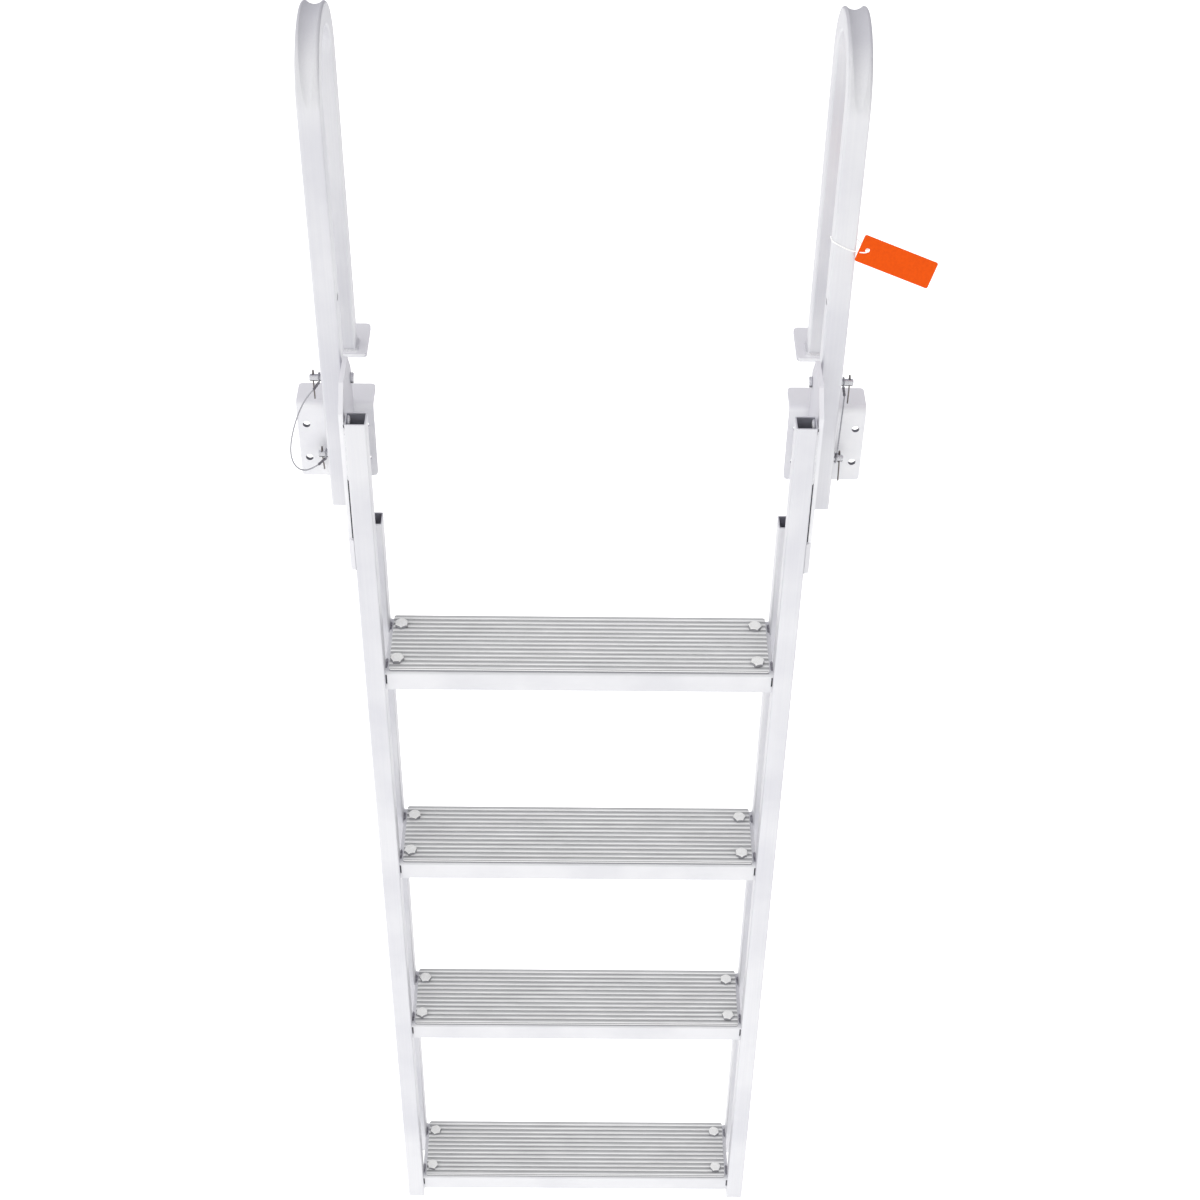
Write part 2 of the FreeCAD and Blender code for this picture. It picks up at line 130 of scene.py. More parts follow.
def nearPlace(tree, socket, middle, away, reach):
    # 1 where the distance from the middle is within reach of away, all in millimetres, else 0
    moved = addNode(tree, "ShaderNodeMath", {"operation": "SUBTRACT", 1: middle * mm}, {0: socket})
    folded = addNode(tree, "ShaderNodeMath", {"operation": "ABSOLUTE"}, {0: moved.outputs[0]})
    near = addNode(tree, "ShaderNodeMath", {"operation": "COMPARE", 1: away * mm, 2: reach * mm},
                   {0: folded.outputs[0]})
    return near.outputs[0]


def product(tree, first, second):
    return addNode(tree, "ShaderNodeMath", {"operation": "MULTIPLY"}, {0: first, 1: second}).outputs[0]


def blended(tree, factor, below, above, mode="MIX"):
    # below and above are sockets or hex colours
    mix = addNode(tree, "ShaderNodeMix", {"data_type": "RGBA", "blend_type": mode})
    for index, value in ((0, factor), (6, below), (7, above)):
        if isinstance(value, str):
            mix.inputs[index].default_value = linearColour(value)
        elif isinstance(value, float):
            mix.inputs[index].default_value = value
        else:
            tree.links.new(value, mix.inputs[index])
    return mix.outputs[2]


# Satin anodised 6063 extrusion: pale silver, faint die lines along the tube, and painted shade inside the rails' bores
extrusionSettings = {
    "light": "#EAEAED",
    "dark": "#DFDFE4",
    # the inside colour is painted shade for the rails' bores
    "inside": "#B2B2BC",
    "railX": 218.0,
    "railY": (-87.5, -15.5),
    "bore": 9.1,
    "metallic": 0.58,
    "roughness": 0.46,
    "lineSpacing": 1.6,
    "grain": 0.5,
}


def extrudedAluminium(s):
    material, tree, shader, place = startMaterial("satin_anodised_extrusion", {"Metallic": s["metallic"]})
    # noise stretched along Z: one cycle across is the die lines' spacing, 90 times that along
    wide = addNode(tree, "ShaderNodeMapping", {"Scale": (1, 1, 1 / 90)}, {"Vector": place})
    lines = addNode(tree, "ShaderNodeTexNoise", {"Scale": 1 / (s["lineSpacing"] * mm), "Detail": 3.0},
                    {"Vector": wide.outputs["Vector"]})
    grain = addNode(tree, "ShaderNodeTexNoise", {"Scale": 1 / (s["grain"] * mm), "Detail": 2.0}, {"Vector": place})
    cloud = addNode(tree, "ShaderNodeTexNoise", {"Scale": 9.0, "Detail": 4.0}, {"Vector": place})
    tone = colourSteps(tree, cloud.outputs["Fac"], [(0.35, s["dark"]), (0.6, s["light"])])
    streak = colourSteps(tree, lines.outputs["Fac"], [(0.3, "#FAFAFB"), (0.65, "#FFFFFF")])
    outside = blended(tree, 0.8, tone, streak, "MULTIPLY")
    # painted shade inside a rail: within the bore's half width of its middle, in X and in Y
    split = addNode(tree, "ShaderNodeSeparateXYZ", links={"Vector": place})
    front, rear = s["railY"]
    inside = product(tree, nearPlace(tree, split.outputs["X"], originShift[0], s["railX"], s["bore"]),
                     nearPlace(tree, split.outputs["Y"], (front + rear) / 2, (rear - front) / 2, s["bore"]))
    tree.links.new(blended(tree, inside, outside, s["inside"]), shader.inputs["Base Color"])
    rough = addNode(tree, "ShaderNodeMapRange",
                    {"To Min": s["roughness"] - 0.06, "To Max": s["roughness"] + 0.08},
                    {"Value": lines.outputs["Fac"]})
    tree.links.new(rough.outputs["Result"], shader.inputs["Roughness"])
    bump = addNode(tree, "ShaderNodeBump", {"Strength": 0.12, "Distance": 0.00008}, {"Height": grain.outputs["Fac"]})
    tree.links.new(bump.outputs["Normal"], shader.inputs["Normal"])
    return material


# Bead-blasted aluminium plate: even matt silver with fine pits about 0.4 mm across
plateSettings = {
    "light": "#FBFBFD",
    "dark": "#F3F3F7",
    # the top and side colours are painted shade for faces that look up or to a side
    "top": "#EAE9EE",
    "side": "#D6D5DC",
    # the next colour is painted shade for the walls of the outer bolt holes
    "holeShade": "#77777F",
    "holes": (279.5, 21.0, 4.0),
    "face": -4.42,
    "metallic": 0.26,
    "roughness": 0.52,
    "pit": 0.4,
}


def blastedPlate(s):
    material, tree, shader, place = startMaterial("bead_blasted_plate", {"Metallic": s["metallic"]})
    pits = addNode(tree, "ShaderNodeTexNoise", {"Scale": 1 / (s["pit"] * mm * 2), "Detail": 3.0}, {"Vector": place})
    cloud = addNode(tree, "ShaderNodeTexNoise", {"Scale": 30.0, "Detail": 5.0}, {"Vector": place})
    tone = colourSteps(tree, cloud.outputs["Fac"], [(0.35, s["dark"]), (0.62, s["light"])])
    # faces that look up or to a side get painted shade, a little darker
    facing = addNode(tree, "ShaderNodeSeparateXYZ", links={"Vector": addNode(tree, "ShaderNodeTexCoord").outputs["Normal"]})
    upwardShadeMask = addNode(tree, "ShaderNodeMapRange", {"From Min": 0.45, "From Max": 0.85}, {"Value": facing.outputs["Z"]})
    tone = blended(tree, upwardShadeMask.outputs["Result"], tone, s["top"])
    level = addNode(tree, "ShaderNodeMath", {"operation": "ABSOLUTE"}, {0: facing.outputs["X"]})
    sideShadeMask = addNode(tree, "ShaderNodeMapRange", {"From Min": 0.45, "From Max": 0.85}, {"Value": level.outputs[0]})
    tone = blended(tree, sideShadeMask.outputs["Result"], tone, s["side"])
    # the walls of the outer bolt holes get painted shade: behind the face, near a hole's place in X and Z
    split = addNode(tree, "ShaderNodeSeparateXYZ", links={"Vector": place})
    across, up, reach = s["holes"]
    behind = addNode(tree, "ShaderNodeMath", {"operation": "GREATER_THAN", 1: s["face"] * mm}, {0: split.outputs["Y"]})
    hole = product(tree, nearPlace(tree, split.outputs["X"], originShift[0], across, reach),
                   nearPlace(tree, split.outputs["Z"], 0.0, up, reach))
    tree.links.new(blended(tree, product(tree, hole, behind.outputs[0]), tone, s["holeShade"]), shader.inputs["Base Color"])
    rough = addNode(tree, "ShaderNodeMapRange",
                    {"To Min": s["roughness"] - 0.07, "To Max": s["roughness"] + 0.1}, {"Value": pits.outputs["Fac"]})
    tree.links.new(rough.outputs["Result"], shader.inputs["Roughness"])
    bump = addNode(tree, "ShaderNodeBump", {"Strength": 0.25, "Distance": 0.00012}, {"Height": pits.outputs["Fac"]})
    tree.links.new(bump.outputs["Normal"], shader.inputs["Normal"])
    return material


# Folded 5052 sheet: rolled grain along the tread
sheetSettings = {
    "light": "#EAEAED",
    "dark": "#E2E2E6",
    "metallic": 0.5,
    "roughness": 0.44,
    "grain": 0.7,
}


def foldedSheet(s):
    material, tree, shader, place = startMaterial("rolled_aluminium_sheet", {"Metallic": s["metallic"]})
    # noise stretched along X, the way the sheet was rolled
    along = addNode(tree, "ShaderNodeMapping", {"Scale": (1 / 60, 1, 1)}, {"Vector": place})
    rolled = addNode(tree, "ShaderNodeTexNoise", {"Scale": 1 / (s["grain"] * mm), "Detail": 4.0},
                     {"Vector": along.outputs["Vector"]})
    cloud = addNode(tree, "ShaderNodeTexNoise", {"Scale": 14.0, "Detail": 4.0}, {"Vector": place})
    tone = colourSteps(tree, cloud.outputs["Fac"], [(0.35, s["dark"]), (0.62, s["light"])])
    tree.links.new(tone, shader.inputs["Base Color"])
    rough = addNode(tree, "ShaderNodeMapRange",
                    {"To Min": s["roughness"] - 0.07, "To Max": s["roughness"] + 0.09}, {"Value": rolled.outputs["Fac"]})
    tree.links.new(rough.outputs["Result"], shader.inputs["Roughness"])
    bump = addNode(tree, "ShaderNodeBump", {"Strength": 0.15, "Distance": 0.0001}, {"Height": rolled.outputs["Fac"]})
    tree.links.new(bump.outputs["Normal"], shader.inputs["Normal"])
    return material


# Grey ribbed PVC mat with painted light and shade: bands by place in each rib's pitch give painted shade in the
# grooves, rib tops paler towards the front and a painted highlight along each rib's edge; cut walls that face the front
# get a painted highlight, and the lower edge a painted shade
matSettings = {
    # the steps paint shade in the grooves and a highlight along each rib's edge
    "steps": [(0.0, "#B0B0B2"), (0.2, "#B4B4B6"), (0.27, "#BCBCBE"), (0.5, "#CCCCCE"), (0.62, "#F8F8F8"),
              (0.78, "#FAFAFA"), (0.8, "#A8A8AA")],
    # the wall colour is a painted highlight and the edge colour a painted shade
    "wall": "#FAFAFA",
    "edge": "#8E8E93",
    "edgeShare": 0.6,
    "grooveCount": 12,
    "front": -91.0,
    "back": -5.0,
    "roughness": 0.62,
}


def ribbedMat(s):
    material, tree, shader, place = startMaterial("ribbed_pvc_mat", {"IOR": 1.53})
    split = addNode(tree, "ShaderNodeSeparateXYZ", links={"Vector": place})
    pitch = (s["back"] - s["front"]) / (s["grooveCount"] + 1) * mm
    # share of a pitch forward of the last groove's middle: the fraction of (back - y) / pitch
    forward = addNode(tree, "ShaderNodeMath", {"operation": "SUBTRACT", 0: s["back"] * mm}, {1: split.outputs["Y"]})
    turns = addNode(tree, "ShaderNodeMath", {"operation": "DIVIDE", 1: pitch}, {0: forward.outputs[0]})
    share = addNode(tree, "ShaderNodeMath", {"operation": "FRACT"}, {0: turns.outputs[0]})
    ribLightAndShadeBands = colourSteps(tree, share.outputs[0], s["steps"])
    stain = addNode(tree, "ShaderNodeMapping", {"Scale": (0.25, 1, 1)}, {"Vector": place})
    cloud = addNode(tree, "ShaderNodeTexNoise", {"Scale": 90.0, "Detail": 5.0}, {"Vector": stain.outputs["Vector"]})
    tint = colourSteps(tree, cloud.outputs["Fac"], [(0.35, "#F0F0F0"), (0.65, "#FFFFFF")])
    top = blended(tree, 0.8, ribLightAndShadeBands, tint, "MULTIPLY")
    # walls that face the front, found by their normals, get a painted highlight; the lowest part of the front edge gets
    # painted shade
    coordinates = addNode(tree, "ShaderNodeTexCoord")
    facing = addNode(tree, "ShaderNodeSeparateXYZ", links={"Vector": coordinates.outputs["Normal"]})
    height = addNode(tree, "ShaderNodeSeparateXYZ", links={"Vector": coordinates.outputs["Generated"]})
    frontFacingMask = addNode(tree, "ShaderNodeMath", {"operation": "LESS_THAN", 1: -0.5}, {0: facing.outputs["Y"]})
    low = addNode(tree, "ShaderNodeMath", {"operation": "LESS_THAN", 1: s["edgeShare"]}, {0: height.outputs["Z"]})
    walls = blended(tree, low.outputs[0], s["wall"], s["edge"])
    tree.links.new(blended(tree, frontFacingMask.outputs[0], top, walls), shader.inputs["Base Color"])
    grain = addNode(tree, "ShaderNodeTexNoise", {"Scale": 1400.0, "Detail": 2.0}, {"Vector": place})
    rough = addNode(tree, "ShaderNodeMapRange",
                    {"To Min": s["roughness"] - 0.08, "To Max": s["roughness"] + 0.1}, {"Value": grain.outputs["Fac"]})
    tree.links.new(rough.outputs["Result"], shader.inputs["Roughness"])
    bump = addNode(tree, "ShaderNodeBump", {"Strength": 0.3, "Distance": 0.00015}, {"Height": grain.outputs["Fac"]})
    tree.links.new(bump.outputs["Normal"], shader.inputs["Normal"])
    return material


# Turned, drawn and plated steels: each a metal with fine noise in its roughness and tone
steelSettings = {
    # an under colour is painted shade, laid on faces that turn away from the top
    "turned_stainless": {"light": "#EAEAEE", "dark": "#D0D0D6", "under": "#26262D", "turn": (-0.5, 0.12),
                         "metallic": 0.8, "roughness": 0.22, "grain": 0.6},
    "blackened_spring_wire": {"light": "#8A8480", "dark": "#565054", "metallic": 0.8, "roughness": 0.3, "grain": 0.8},
    "galvanised_strand": {"light": "#C8C8CC", "dark": "#A0A0A8", "metallic": 0.8, "roughness": 0.36, "grain": 0.5},
    "crimped_copper_tinned": {"light": "#8C8A90", "dark": "#605E66", "metallic": 0.9, "roughness": 0.4, "grain": 0.7},
    "zinc_plated_bolt": {"light": "#FFFFFF", "dark": "#F2F2EE", "under": "#A2A2A6", "turn": (0.15, 0.55),
                         "metallic": 0.25, "roughness": 0.4, "grain": 1.1},
    "tig_weld_metal": {"light": "#F4F4F6", "dark": "#DCDCE1", "metallic": 0.6, "roughness": 0.34, "grain": 1.0},
    # painted shade: weld beads coloured dark for the shade at the tread ends
    "painted_shade_weld": {"light": "#B4B2BA", "dark": "#6A6872", "metallic": 0.5, "roughness": 0.45, "grain": 1.6},
    # painted shade: a dark fill for the shade in open joints
    "painted_joint_shade": {"light": "#4C4C54", "dark": "#3A3A42", "metallic": 0.0, "roughness": 0.8, "grain": 0.8},
}


def steelFinish(name, s):
    material, tree, shader, place = startMaterial(name, {"Metallic": s["metallic"]})
    grain = addNode(tree, "ShaderNodeTexNoise", {"Scale": 1 / (s["grain"] * mm), "Detail": 4.0}, {"Vector": place})
    tone = colourSteps(tree, grain.outputs["Fac"], [(0.35, s["dark"]), (0.62, s["light"])])
    if "under" in s:
        # painted shade, darker where the surface turns away from the top
        facing = addNode(tree, "ShaderNodeSeparateXYZ",
                         links={"Vector": addNode(tree, "ShaderNodeTexCoord").outputs["Normal"]})
        upwardShadeMask = addNode(tree, "ShaderNodeMapRange", {"From Min": s["turn"][0], "From Max": s["turn"][1]},
                         {"Value": facing.outputs["Z"]})
        tone = blended(tree, upwardShadeMask.outputs["Result"], s["under"], tone)
    tree.links.new(tone, shader.inputs["Base Color"])
    rough = addNode(tree, "ShaderNodeMapRange",
                    {"To Min": s["roughness"] - 0.08, "To Max": s["roughness"] + 0.12}, {"Value": grain.outputs["Fac"]})
    tree.links.new(rough.outputs["Result"], shader.inputs["Roughness"])
    bump = addNode(tree, "ShaderNodeBump", {"Strength": 0.2, "Distance": 0.00008}, {"Height": grain.outputs["Fac"]})
    tree.links.new(bump.outputs["Normal"], shader.inputs["Normal"])
    return material


# Printed-stock vinyl, blank: strong orange, smooth, with a faint fibre mottle
tagSettings = {"light": "#F75B0C", "dark": "#F1560B", "roughness": 0.6, "mottle": 2.5}


def tagVinyl(s):
    material, tree, shader, place = startMaterial("blank_orange_vinyl", {"IOR": 1.5, "Specular IOR Level": 0.12})
    mottle = addNode(tree, "ShaderNodeTexNoise", {"Scale": 1 / (s["mottle"] * mm), "Detail": 5.0}, {"Vector": place})
    tone = colourSteps(tree, mottle.outputs["Fac"], [(0.35, s["dark"]), (0.6, s["light"])])
    tree.links.new(tone, shader.inputs["Base Color"])
    rough = addNode(tree, "ShaderNodeMapRange",
                    {"To Min": s["roughness"] - 0.05, "To Max": s["roughness"] + 0.08}, {"Value": mottle.outputs["Fac"]})
    tree.links.new(rough.outputs["Result"], shader.inputs["Roughness"])
    return material


# Twisted white cotton: matt, with fibres far finer than the strands, and a painted glow that makes the string emit a
# little light
stringSettings = {"light": "#FFFFFD", "dark": "#F0F0EC", "roughness": 0.85, "fibre": 0.12,
                  "glow": 0.2}


def cottonString(s):
    # the emission strength is painted light, a glow though the string is no lamp
    material, tree, shader, place = startMaterial(
        "white_cotton_string", {"IOR": 1.45, "Roughness": s["roughness"], "Emission Strength": s["glow"]})
    fibre = addNode(tree, "ShaderNodeTexNoise", {"Scale": 1 / (s["fibre"] * mm), "Detail": 3.0}, {"Vector": place})
    tone = colourSteps(tree, fibre.outputs["Fac"], [(0.35, s["dark"]), (0.6, s["light"])])
    tree.links.new(tone, shader.inputs["Base Color"])
    bump = addNode(tree, "ShaderNodeBump", {"Strength": 0.4, "Distance": 0.0001}, {"Height": fibre.outputs["Fac"]})
    tree.links.new(bump.outputs["Normal"], shader.inputs["Normal"])
    return material


finishes = {name: steelFinish(name, s) for name, s in steelSettings.items()}
finishes["extrusion"] = extrudedAluminium(extrusionSettings)
finishes["plate"] = blastedPlate(plateSettings)
finishes["sheet"] = foldedSheet(sheetSettings)
finishes["mat"] = ribbedMat(matSettings)
finishes["tag"] = tagVinyl(tagSettings)
finishes["string"] = cottonString(stringSettings)
print("materials made")

nodeFinishes = {
    "extrusion": ["handle", "front_rail", "rear_rail"],
    "plate": ["dock_bracket", "hinge_plate", "foot_plate"],
    "turned_stainless": ["pivot_pin", "lock_pin", "pivot_washer"],
    "sheet": ["tread_1", "tread_2", "tread_3", "tread_4"],
    "mat": ["tread_mat"],
}


def dressNodes(table):
    for finish, starts in table.items():
        for name, node in nodes.items():
            if any(name.startswith(start) for start in starts):
                for slot in node.material_slots:
                    slot.material = finishes[finish]


dressNodes(nodeFinishes)


# Surfaces from numpy grids


def gridFaces(rows, columns, closedRows=False):
    # quads between neighbouring rows and columns; columns always close round
    r = np.arange(rows if closedRows else rows - 1)[:, None]
    c = np.arange(columns)[None, :]
    low, high = r * columns, (r + 1) % rows * columns
    quads = np.stack([low + c, low + (c + 1) % columns, high + (c + 1) % columns, high + c], axis=-1)
    return [tuple(q) for q in quads.reshape(-1, 4).tolist()]


def tube(line, radius, sides, reference, closed=False, shape=None):
    # a ring of points round each point of the line, in the plane square to it: centre + radius times
    # (cosine of the angle times the side direction + sine times the lift direction)
    line = np.asarray(line, float)
    ahead = np.roll(line, -1, 0) - np.roll(line, 1, 0) if closed else np.gradient(line, axis=0)
    ahead /= np.linalg.norm(ahead, axis=1, keepdims=True)
    side = np.cross(reference, ahead)
    side /= np.linalg.norm(side, axis=1, keepdims=True)
    lift = np.cross(ahead, side)
    angle = np.arange(sides) * 2 * math.pi / sides
    radii = np.broadcast_to(radius, (len(line), sides)) if shape is None else shape(radius, angle)
    ring = np.cos(angle)[None, :, None] * side[:, None] + np.sin(angle)[None, :, None] * lift[:, None]
    points = line[:, None] + radii[..., None] * ring
    faces = gridFaces(len(line), sides, closed)
    if not closed:
        faces.append(tuple(range(sides - 1, -1, -1)))
        faces.append(tuple(range((len(line) - 1) * sides, len(line) * sides)))
    return points.reshape(-1, 3), faces


def joined(parts):
    points, faces, start = [], [], 0
    for partPoints, partFaces in parts:
        points.append(partPoints)
        faces += [tuple(i + start for i in face) for face in partFaces]
        start += len(partPoints)
    return np.concatenate(points), faces


def addPiece(name, part, finish, body, smooth=True):
    points, faces = part
    mesh = bpy.data.meshes.new(name)
    mesh.from_pydata(placed(points).tolist(), [], faces)
    mesh.validate()
    mesh.polygons.foreach_set("use_smooth", [smooth] * len(mesh.polygons))
    mesh.materials.append(finishes[finish])
    piece = bpy.data.objects.new(name, mesh)
    bpy.context.scene.collection.objects.link(piece)
    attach(piece, body)
    return piece


def splineLine(route, resolution):
    # the NURBS curve through the route's control points, read as its own points
    curve = bpy.data.curves.new("route", "CURVE")
    curve.dimensions = "3D"
    spline = curve.splines.new("NURBS")
    spline.points.add(len(route) - 1)
    for point, place in zip(spline.points, route):
        point.co = (*place, 1)
    spline.order_u = 3
    spline.use_endpoint_u = True
    spline.resolution_u = resolution
    holder = bpy.data.objects.new("route", curve)
    bpy.context.scene.collection.objects.link(holder)
    mesh = bpy.data.meshes.new_from_object(holder)
    line = np.array([v.co[:] for v in mesh.vertices])
    bpy.data.objects.remove(holder)
    bpy.data.curves.remove(curve)
    bpy.data.meshes.remove(mesh)
    return line


def strands(line, radius, count, pitch, reference, sides, core=False, closed=False):
    # each strand's centre goes round the line: offset times (cosine of 2 pi times length over pitch, plus
    # the strand's own share of a turn, times the side direction + sine times the lift direction)
    line = np.asarray(line, float)
    ahead = np.roll(line, -1, 0) - np.roll(line, 1, 0) if closed else np.gradient(line, axis=0)
    ahead /= np.linalg.norm(ahead, axis=1, keepdims=True)
    side = np.cross(reference, ahead)
    side /= np.linalg.norm(side, axis=1, keepdims=True)
    lift = np.cross(ahead, side)
    travelled = np.concatenate([[0], np.cumsum(np.linalg.norm(np.diff(line, axis=0), axis=1))])
    ratio = math.sin(math.pi / count)
    strandRadius = radius * ratio / (1 + ratio)
    offset = radius - strandRadius
    parts = []
    for k in range(count):
        angle = 2 * math.pi * (travelled / pitch + k / count)
        centre = line + offset * (np.cos(angle)[:, None] * side + np.sin(angle)[:, None] * lift)
        parts.append(tube(centre, strandRadius * 1.04, sides, reference, closed))
    if core:
        parts.append(tube(line, offset, sides, reference, closed))
    return joined(parts)


# Wire lanyards: six strands round a core. Control points of their routes, right side, in millimetres.
lanyardSettings = {
    "radius": 0.75,
    "pitch": 9.0,
    "leftRoute": [(266.4, -20.7, 32.3), (274.2, -21.6, 23.2), (281.6, -22.0, 9.0), (288.2, -22.0, -8.5),
                  (293.5, -22.0, -28.0), (296.0, -22.0, -46.0), (294.0, -21.8, -60.0), (287.6, -21.4, -68.4),
                  (278.4, -20.9, -68.6), (268.7, -20.3, -61.9)],
    "rightRoute": [(262.0, -21.5, 31.0), (261.2, -26.8, 19.5), (260.2, -30.2, 6.0), (259.8, -31.6, -9.0),
                   (259.9, -29.6, -24.0), (260.3, -24.2, -38.5)],
    "leftLength": 0.1296,
    "rightLength": 0.0721,
}


def makeLanyard(s, sideName, mirror, reference):
    line = splineLine((np.array(s[sideName + "Route"]) * (mirror, 1, 1)).tolist(), 14)
    wire = addPiece("lanyard_wire_" + sideName, strands(line, s["radius"], 6, s["pitch"], reference, 8, True),
                    "galvanised_strand", "dock_frame")
    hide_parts("lanyard_" + sideName)


makeLanyard(lanyardSettings, "left", -1, (0, 1, 0))
makeLanyard(lanyardSettings, "right", 1, (1, 0, 0))
print("lanyards laid")


# Blank tag: it leans back about its long middle line and curls a little towards its far end
tagCardSettings = {
    "length": 78.4,
    "height": 26.4,
    "thickness": 0.6,
    "corner": 2.0,
    "tilt": -23.1,
    "lean": 21.0,
    "curl": 0.3,
    "centre": (296.6, -27.1, 190.7),
    "holePlace": -31.1,
    "holeRadius": 2.2,
    "rings": 14,
    "sides": 72,
    "cornerSides": 36,
}


def makeTagCard(s):
    # rings between the hole and the rounded outline: each ray from the hole's middle meets the outline where a
    # rectangle's rounded corner distance is nought, found by halving
    hole = np.array([s["holePlace"], 0.0])
    inner = np.array([s["length"] / 2, s["height"] / 2]) - s["corner"]
    # even rays, and more of them to places round the four corners
    turn = (np.arange(s["cornerSides"]) + 0.5) * 2 * math.pi / s["cornerSides"]
    bend = np.stack([np.cos(turn), np.sin(turn)], 1)
    bend = inner * np.sign(bend) + s["corner"] * bend - hole
    angle = np.concatenate([np.arange(s["sides"]) * 2 * math.pi / s["sides"], np.arctan2(bend[:, 1], bend[:, 0])])
    angle = np.sort(angle % (2 * math.pi))
    ray = np.stack([np.cos(angle), np.sin(angle)], 1)
    near, far = np.zeros(len(angle)), np.full(len(angle), 2.0 * s["length"])
    for step in range(40):
        middle = (near + far) / 2
        beyond = np.abs(hole + middle[:, None] * ray) - inner
        inside = np.linalg.norm(np.maximum(beyond, 0), axis=1) + np.minimum(beyond.max(1), 0) < s["corner"]
        near, far = np.where(inside, middle, near), np.where(inside, far, middle)
    share = np.linspace(0, 1, s["rings"])[:, None]
    reach = s["holeRadius"] + share * (near - s["holeRadius"])
    flat = hole + reach[..., None] * ray
    # front rings outwards, then back rings inwards, closed on themselves round the hole
    u, v = (np.concatenate([flat[..., i], flat[::-1, :, i]]) for i in (0, 1))
    depth = np.repeat([0.0, s["thickness"]], s["rings"])[:, None]
    depth = depth + s["curl"] * ((u / s["length"] + 0.5) ** 2 - 0.15)
    tilt, lean = math.radians(s["tilt"]), math.radians(s["lean"])
    along = np.array([math.cos(tilt), 0, math.sin(tilt)])
    upright = np.array([-math.sin(tilt), 0, math.cos(tilt)])
    back = np.array([0.0, 1.0, 0.0])
    raised = upright * math.cos(lean) + back * math.sin(lean)
    away = back * math.cos(lean) - upright * math.sin(lean)
    points = np.array(s["centre"]) + u[..., None] * along + v[..., None] * raised + depth[..., None] * away
    faces = [tuple(reversed(f)) for f in gridFaces(2 * s["rings"], len(angle), True)]
    card = addPiece("hang_tag_card", (points.reshape(-1, 3), faces), "tag", "dock_frame", False)
    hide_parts("hang_tag")


makeTagCard(tagCardSettings)
print("tag cut")


# String through the tag's hole and round the leg, in millimetres: the CAD route, with a point about
# six diameters each side of the leg's corners, where it is drawn tight
tagStringSettings = {
    "radius": 0.6,
    "pitch": 3.2,
    "length": 0.1079,
    "route": [(268.85, -23.4, 202.92), (268.2, -28.6, 202.92), (266.4, -30.8, 202.6), (262.0, -29.0, 201.6),
              (258.38, -27.28, 201.42), (251.5, -27.28, 202.6), (241.5, -27.28, 207.8), (234.72, -27.28, 212.02),
              (234.72, -21.5, 209.4), (234.72, -9.5, 205.6), (234.72, -3.72, 203.52), (241.5, -3.72, 203.5),
              (251.5, -3.72, 203.5), (258.38, -3.72, 203.52), (260.6, -9.0, 203.4), (267.05, -23.4, 202.92)],
    "knot": (267.95, -23.4, 202.92),
}


def makeString(s):
    line = splineLine(s["route"], 16)
    # the knot: a short cord wound round a small ring, three turns of a helix bent into a circle
    t = np.linspace(0, 1, 97)[:-1] * 2 * math.pi
    ringRadius, coilRadius = 0.9, 0.62
    out = ringRadius + coilRadius * np.cos(3 * t)
    knot = np.array(s["knot"]) + np.stack([out * np.cos(t), 0.9 * coilRadius * np.sin(3 * t), out * np.sin(t)], 1)
    parts = [strands(line, s["radius"], 3, s["pitch"], (0, 0, 1), 8),
             tube(knot, s["radius"], 10, (0, 1, 0), True)]
    piece = addPiece("tag_string_twist", joined(parts), "string", "dock_frame")
    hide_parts("tag_string")


makeString(tagStringSettings)
print("tag string tied")


# Hairpin clips: a straight prong through the pin's tail, a round bow, and a waved leg that grips the tail
clipSettings = {
    "radius": 0.75,
    "middle": -15.5,
    "places": (266.6, 264.6),
    "heights": (43.5, -51.0),
    "leftTurns": (0.0, 15.0),
    "rightTurns": (0.0, -12.0),
    "route": [(0, -25.5), (0, -10), (0, 3.6), (0.2, 4.7), (1.2, 6.1), (2.8, 6.4), (4.4, 5.7), (5.2, 4.2),
              (4.75, 2.6), (4.6, 0), (4.6, -3.2), (5.2, -5.4), (6.6, -7.2)],
}


def makeClips(s, sideName, mirror):
    parts = []
    for x, height, turn in zip(s["places"], s["heights"], s[sideName + "Turns"]):
        line = splineLine([(0, y, z) for y, z in s["route"]], 8)
        c, n = math.cos(math.radians(turn)), math.sin(math.radians(turn))
        # turned round the pin's axis, then set in its tail
        y, z = line[:, 1] * c - line[:, 2] * n, line[:, 1] * n + line[:, 2] * c
        centre = np.stack([np.full(len(line), mirror * x), y + s["middle"], z + height], 1)
        parts.append(tube(centre, s["radius"], 12, (1, 0, 0)))
    piece = addPiece("hairpin_clips_" + sideName, joined(parts), "blackened_spring_wire", "dock_frame")
    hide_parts("pin_clips_" + sideName)


makeClips(clipSettings, "left", -1)
makeClips(clipSettings, "right", 1)


# Eyes of the lanyards round the pins' tails, with pressed sleeves
eyeSettings = {
    "place": (260.5, -15.5),
    "heights": (43.5, -51.0),
    "eyeRadius": 4.75,
    "wireRadius": 0.75,
    "sleeveRadius": 1.4,
    "sleeveSeat": 0.5,
}


